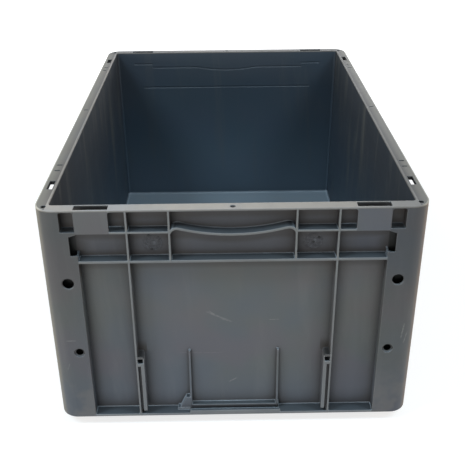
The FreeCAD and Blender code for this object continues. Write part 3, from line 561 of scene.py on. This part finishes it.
# %% [markdown]
# ## Round mould marks
# Between the upper and the lower band, a mould insert leaves a faint round mark on each side of
# the hand grip: a thin ring with short strokes inside it, and two small pins beside it. It is the
# same mark four times, and its strokes repeat round a circle, so Geometry Nodes make it. Each
# point of the base mesh carries two numbers: what stands there, and which way it faces.

# %% Places of the marks
# The end wall's distance from the middle at the top of the rim, and its draft down to the skirt.
RIM_TOP, WALL_AT_RIM, WALL_DRAFT, WALL_HEIGHT = 280, 288, 1.5, 266.3
mark_mesh = bpy.data.meshes.new("mould_marks")
spots, kinds, turns = [], [], []
for half_turn in (0, 1):
    way = 1 - 2 * half_turn
    for mx, mz, kind in MARKS:
        wall_y = -WALL_AT_RIM + WALL_DRAFT * (RIM_TOP - mz) / WALL_HEIGHT
        spots.append((mx * way * MM, wall_y * way * MM, mz * MM))
        kinds.append(kind)
        turns.append(half_turn * math.pi)
mark_mesh.from_pydata(spots, [], [])
mark_mesh.attributes.new("kind", "INT", "POINT").data.foreach_set("value", kinds)
mark_mesh.attributes.new("turn", "FLOAT", "POINT").data.foreach_set("value", turns)
marks = bpy.data.objects.new("mould_marks", mark_mesh)
bpy.context.scene.collection.objects.link(marks)
print(len(spots), "places")

# %% The tree of the marks
mark_tree = bpy.data.node_groups.new("mould_marks", "GeometryNodeTree")
mark_tree.is_modifier = True
group = mark_tree.interface
group.new_socket("Geometry", in_out="OUTPUT", socket_type="NodeSocketGeometry")
group.new_socket("Geometry", in_out="INPUT", socket_type="NodeSocketGeometry")
SIZES = {"Radius": 8.3 * MM, "Ring Thickness": 0.7 * MM, "Stroke Length": 2.0 * MM,
         "Stroke Width": 0.5 * MM, "Relief": 0.35 * MM, "Pin Radius": 0.9 * MM}
STROKES = 12
ids = {}
for name in SIZES:
    ids[name] = group.new_socket(name, in_out="INPUT", socket_type="NodeSocketFloat").identifier
ids["Strokes"] = group.new_socket("Strokes", in_out="INPUT", socket_type="NodeSocketInt").identifier
ids["Plastic"] = group.new_socket(
    "Plastic", in_out="INPUT", socket_type="NodeSocketMaterial").identifier

geo = Tree(mark_tree)
given = geo.node("NodeGroupInput").outputs


def scalar(operation, *values):
    return geo.node("ShaderNodeMath", {"operation": operation}, dict(enumerate(values))).outputs[0]


def vector(*parts):
    return geo.node("ShaderNodeCombineXYZ", None, dict(enumerate(parts))).outputs[0]


def turned(angles):
    return geo.node("FunctionNodeEulerToRotation", None, {0: angles}).outputs[0]


# A mark lies in the XY plane and rises along Z, half sunk in the wall.
path = geo.node("GeometryNodeCurvePrimitiveCircle", None, {
    "Resolution": 48, "Radius": given["Radius"]})
tube = geo.node("GeometryNodeCurvePrimitiveCircle", None, {
    "Resolution": 8, "Radius": scalar("MULTIPLY", given["Ring Thickness"], 0.5)})
ring = geo.node("GeometryNodeCurveToMesh", None, {
    "Curve": path.outputs[0], "Profile Curve": tube.outputs[0]})
dial = geo.node("GeometryNodeMeshCircle", None, {
    "Vertices": given["Strokes"], "Radius": scalar("MULTIPLY", given["Radius"], 0.72)})
step = scalar("DIVIDE", 2 * math.pi, given["Strokes"])
index = geo.node("GeometryNodeInputIndex").outputs[0]
stroke = geo.node("GeometryNodeMeshCube", None, {
    "Size": vector(given["Stroke Length"], given["Stroke Width"],
                   scalar("MULTIPLY", given["Relief"], 2.0))})
strokes = geo.node("GeometryNodeInstanceOnPoints", None, {
    "Points": dial.outputs[0], "Instance": stroke.outputs[0],
    "Rotation": turned(vector(0.0, 0.0, scalar("MULTIPLY", index, step)))})
boss = geo.node("GeometryNodeMeshCylinder", None, {
    "Vertices": 24, "Radius": scalar("MULTIPLY", given["Radius"], 0.3),
    "Depth": scalar("MULTIPLY", given["Relief"], 2.0)})
mark = geo.node("GeometryNodeJoinGeometry")
for part in (ring.outputs[0], strokes.outputs[0], boss.outputs[0]):
    mark_tree.links.new(part, mark.inputs[0])
pin = geo.node("GeometryNodeMeshCylinder", None, {
    "Vertices": 16, "Radius": given["Pin Radius"],
    "Depth": scalar("MULTIPLY", given["Relief"], 3.0)})

# The wall leans by a third of a degree, and so do the marks.
turn = geo.node("GeometryNodeInputNamedAttribute", {"data_type": "FLOAT"}, {"Name": "turn"})
kind = geo.node("GeometryNodeInputNamedAttribute", {"data_type": "INT"}, {"Name": "kind"})
stand = turned(vector(math.radians(90.32), 0.0, turn.outputs[0]))
placed = geo.node("GeometryNodeJoinGeometry")
for wanted, shape in ((RING, mark), (PIN, pin)):
    chosen = geo.node("FunctionNodeCompare", {"data_type": "INT", "operation": "EQUAL"},
                      {2: kind.outputs[0], 3: wanted})
    put = geo.node("GeometryNodeInstanceOnPoints", None, {
        "Points": given["Geometry"], "Selection": chosen.outputs[0], "Instance": shape.outputs[0],
        "Rotation": stand})
    mark_tree.links.new(put.outputs[0], placed.inputs[0])
real = geo.node("GeometryNodeRealizeInstances", None, {0: placed.outputs[0]})
coated = geo.node("GeometryNodeSetMaterial", None, {
    "Geometry": real.outputs[0], "Material": given["Plastic"]})
geo.node("NodeGroupOutput", None, {0: coated.outputs[0]})
print(len(mark_tree.nodes), "nodes")

# %% Marks to a plain mesh
grow = marks.modifiers.new("mould_marks", "NODES")
grow.node_group = mark_tree
for name, value in SIZES.items():
    grow[ids[name]] = value
grow[ids["Strokes"]] = STROKES
grow[ids["Plastic"]] = plastic_material
ready = marks.evaluated_get(bpy.context.evaluated_depsgraph_get())
plain = bpy.data.meshes.new_from_object(ready)
marks.modifiers.clear()
marks.data = plain
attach(marks, "root")
print(len(plain.polygons), "faces in the marks")
